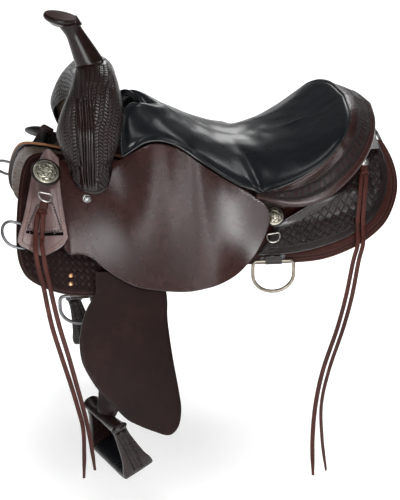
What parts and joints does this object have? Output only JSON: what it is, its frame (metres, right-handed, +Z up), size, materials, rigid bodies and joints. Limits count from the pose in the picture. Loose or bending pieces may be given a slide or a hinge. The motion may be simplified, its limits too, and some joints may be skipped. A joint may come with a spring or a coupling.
{
  "type": "western trail saddle",
  "caption": "Western trail saddle with a padded seat, horn on a fluted swell with a hand hole, stamped skirts, fenders and hanging stirrups.",
  "frame": {"origin": "on the centre plane, half way along the skirts, at the underside of the channel between the fleeces", "axes": "-X towards the horse's head (horn end), -Y the near (left) side, +Z up"},
  "size_m": [0.747, 0.6902, 0.8776],
  "materials": {
    "leather_brown": "smooth, polished",
    "leather_tooled": "stamped, antiqued",
    "leather_seat": "soft, smooth",
    "string_leather": "raw edge",
    "tan_leather": "natural",
    "wool_fleece": "curly pile",
    "tree_wood": "sanded",
    "antique_silver": "engraved, antiqued",
    "nickel_steel": "polished",
    "nickel_bronze": "worn"
  },
  "bodies": {
    "saddle": {"seat": "leather_seat", "ground_seat": "tan_leather", "front_rigging_keeper_left": "tan_leather", "front_rigging_keeper_right": "tan_leather", "cantle_roll": "leather_brown", "cantle_back": "leather_brown", "crupper_tab": "leather_brown", "horn_wrap": "leather_brown", "horn_cap": "leather_brown", "side_jockey_left": "leather_brown", "side_jockey_right": "leather_brown", "concho_strap_left": "leather_brown", "concho_strap_right": "leather_brown", "stirrup_leather_left": "leather_brown", "stirrup_leather_right": "leather_brown", "swell_cover": "leather_tooled", "skirt_left": "leather_tooled", "skirt_right": "leather_tooled", "rear_jockey_left": "leather_tooled", "rear_jockey_right": "leather_tooled", "tree_cantle": "tree_wood", "fork": "tree_wood", "tree_bar_left": "tree_wood", "tree_bar_right": "tree_wood", "seat_riser_left": "tree_wood", "seat_riser_right": "tree_wood", "fleece_left": "wool_fleece", "fleece_right": "wool_fleece", "front_concho_left": "antique_silver", "front_concho_right": "antique_silver", "rear_concho_left": "antique_silver", "rear_concho_right": "antique_silver", "string_button_left": "antique_silver", "string_button_right": "antique_silver", "horn_post": "nickel_steel", "jockey_screw_left": "nickel_steel", "jockey_screw_right": "nickel_steel", "rear_rigging_keeper_left": "nickel_bronze", "rear_rigging_keeper_right": "nickel_bronze", "front_string_left": "string_leather", "front_string_right": "string_leather", "rear_string_left": "string_leather", "rear_string_right": "string_leather"},
    "fender_left": {"fender_left": "leather_brown"},
    "stirrup_left": {"stirrup_left": "leather_tooled", "stirrup_bolt_left": "nickel_steel"},
    "front_rigging_dee_left": {"front_rigging_dee_left": "nickel_steel"},
    "rear_rigging_dee_left": {"rear_rigging_dee_left": "nickel_bronze"},
    "breast_collar_dee_left": {"breast_collar_dee_left": "nickel_steel"},
    "front_string_dee_left": {"front_string_dee_left": "antique_silver"},
    "rear_string_dee_left": {"rear_string_dee_left": "antique_silver"},
    "fender_right": {"fender_right": "leather_brown"},
    "stirrup_right": {"stirrup_right": "leather_tooled", "stirrup_bolt_right": "nickel_steel"},
    "front_rigging_dee_right": {"front_rigging_dee_right": "nickel_steel"},
    "rear_rigging_dee_right": {"rear_rigging_dee_right": "nickel_bronze"},
    "breast_collar_dee_right": {"breast_collar_dee_right": "nickel_steel"},
    "front_string_dee_right": {"front_string_dee_right": "antique_silver"},
    "rear_string_dee_right": {"rear_string_dee_right": "antique_silver"},
    "crupper_dee": {"crupper_dee": "nickel_steel"}
  },
  "joints": [
    {"name": "fender_swing_left", "type": "hinge", "parent": "saddle", "child": "fender_left", "pos_m": [-0.2015, -0.1324, -0.008], "axis": [0.1391, -0.8826, 0.449], "range_deg": [-2, 14]},
    {"name": "stirrup_turn_left", "type": "hinge", "parent": "fender_left", "child": "stirrup_left", "pos_m": [-0.2119, -0.2785, -0.3806], "axis": [0.3746, -0.9272, 0], "range_deg": [-22, 30]},
    {"name": "rear_rigging_dee_swing_left", "type": "hinge", "parent": "saddle", "child": "rear_rigging_dee_left", "pos_m": [0.112, -0.18088, -0.12428], "axis": [-0.998, 0.0639, 0], "range_deg": [-4, 80]},
    {"name": "front_rigging_dee_swing_left", "type": "hinge", "parent": "saddle", "child": "front_rigging_dee_left", "pos_m": [-0.25, -0.19434, -0.16453], "axis": [-0.9995, -0.03, 0], "range_deg": [-40, 5]},
    {"name": "breast_collar_dee_swing_left", "type": "hinge", "parent": "saddle", "child": "breast_collar_dee_left", "pos_m": [-0.3445, -0.16713, -0.05408], "axis": [0, 0.5985, 0.8011], "range_deg": [0, 6]},
    {"name": "front_string_dee_lift_left", "type": "hinge", "parent": "saddle", "child": "front_string_dee_left", "pos_m": [-0.303, -0.13002, 0.01428], "axis": [-0.9606, 0, 0.278], "range_deg": [0, 60]},
    {"name": "rear_string_dee_lift_left", "type": "hinge", "parent": "saddle", "child": "rear_string_dee_left", "pos_m": [0.116, -0.15158, -0.08192], "axis": [-0.9895, 0.0455, -0.1371], "range_deg": [0, 60]},
    {"name": "fender_swing_right", "type": "hinge", "parent": "saddle", "child": "fender_right", "pos_m": [-0.2015, 0.1324, -0.008], "axis": [-0.1391, -0.8826, -0.449], "range_deg": [-2, 14]},
    {"name": "stirrup_turn_right", "type": "hinge", "parent": "fender_right", "child": "stirrup_right", "pos_m": [-0.2119, 0.2785, -0.3806], "axis": [-0.3746, -0.9272, 0], "range_deg": [-22, 30]},
    {"name": "rear_rigging_dee_swing_right", "type": "hinge", "parent": "saddle", "child": "rear_rigging_dee_right", "pos_m": [0.112, 0.18088, -0.12428], "axis": [0.998, 0.0639, 0], "range_deg": [-4, 80]},
    {"name": "front_rigging_dee_swing_right", "type": "hinge", "parent": "saddle", "child": "front_rigging_dee_right", "pos_m": [-0.25, 0.19434, -0.16453], "axis": [0.9995, -0.03, 0], "range_deg": [-40, 5]},
    {"name": "breast_collar_dee_swing_right", "type": "hinge", "parent": "saddle", "child": "breast_collar_dee_right", "pos_m": [-0.3445, 0.16713, -0.05408], "axis": [0, 0.5985, -0.8011], "range_deg": [0, 6]},
    {"name": "front_string_dee_lift_right", "type": "hinge", "parent": "saddle", "child": "front_string_dee_right", "pos_m": [-0.303, 0.13002, 0.01428], "axis": [0.9606, 0, -0.278], "range_deg": [0, 60]},
    {"name": "rear_string_dee_lift_right", "type": "hinge", "parent": "saddle", "child": "rear_string_dee_right", "pos_m": [0.116, 0.15158, -0.08192], "axis": [0.9895, 0.0455, 0.1371], "range_deg": [0, 60]},
    {"name": "crupper_dee_swing", "type": "hinge", "parent": "saddle", "child": "crupper_dee", "pos_m": [0.3405, 0, 0.05509], "axis": [0, -1, 0], "range_deg": [0, 70]}
  ]
}
